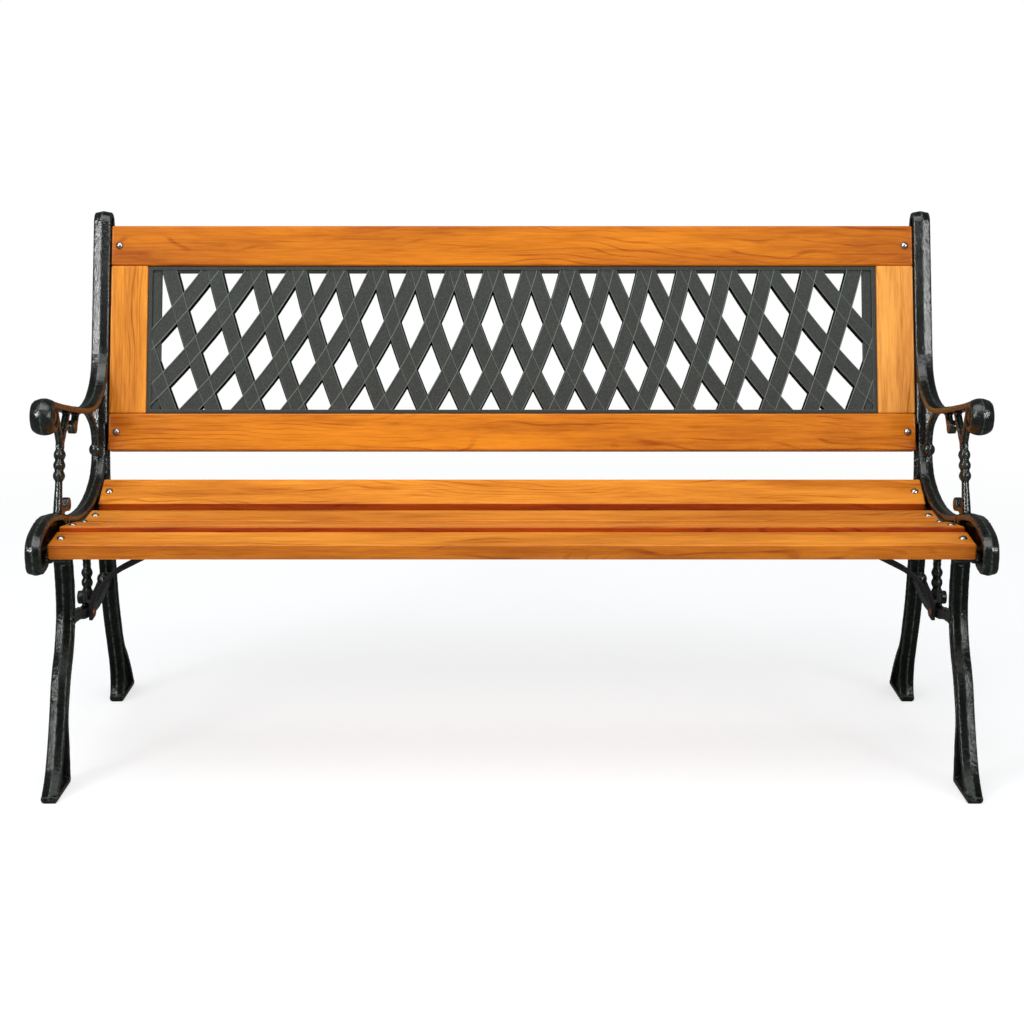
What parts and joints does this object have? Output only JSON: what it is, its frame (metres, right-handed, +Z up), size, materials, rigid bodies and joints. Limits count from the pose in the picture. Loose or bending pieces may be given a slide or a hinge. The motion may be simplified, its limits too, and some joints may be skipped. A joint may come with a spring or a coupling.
{
  "type": "garden bench",
  "caption": "Garden bench with two scrolled cast-iron end frames, lacquered wooden seat slats and a reclined wooden backrest around a dark diagonal lattice panel.",
  "frame": {"origin": "on the floor under the middle of the bench's outer box", "axes": "+X along the bench, to the right of someone who looks at its front; -Y the front; +Z up"},
  "size_m": [1.229, 0.5271, 0.7301],
  "materials": {
    "iron": "semi-gloss black-green paint over rough cast iron",
    "wood": "orange-brown glossy lacquer",
    "dowel_wood": "bare",
    "lattice": "fine-textured matte",
    "strap": "dark semi-gloss paint",
    "steel": "zinc plated",
    "copper_bolt": "copper-coloured plating"
  },
  "bodies": {
    "root": {"backrest_bolts": "steel", "backrest_bottom_rail": "wood", "backrest_left_stile": "wood", "backrest_nuts": "steel", "backrest_right_stile": "wood", "backrest_top_rail": "wood", "backrest_washers": "steel", "end_frame_left": "iron", "end_frame_right": "iron", "lattice_panel": "lattice", "seat_brace_bolts": "copper_bolt", "seat_brace_left": "strap", "seat_brace_nuts": "steel", "seat_brace_right": "strap", "seat_brace_screws": "steel", "seat_brace_washers": "steel", "seat_slat_bolts": "steel", "seat_slat_fourth": "wood", "seat_slat_front": "wood", "seat_slat_middle": "wood", "seat_slat_nuts": "steel", "seat_slat_rear": "wood", "seat_slat_second": "wood", "seat_slat_washers": "steel", "stile_dowels": "dowel_wood"}
  },
  "joints": []
}
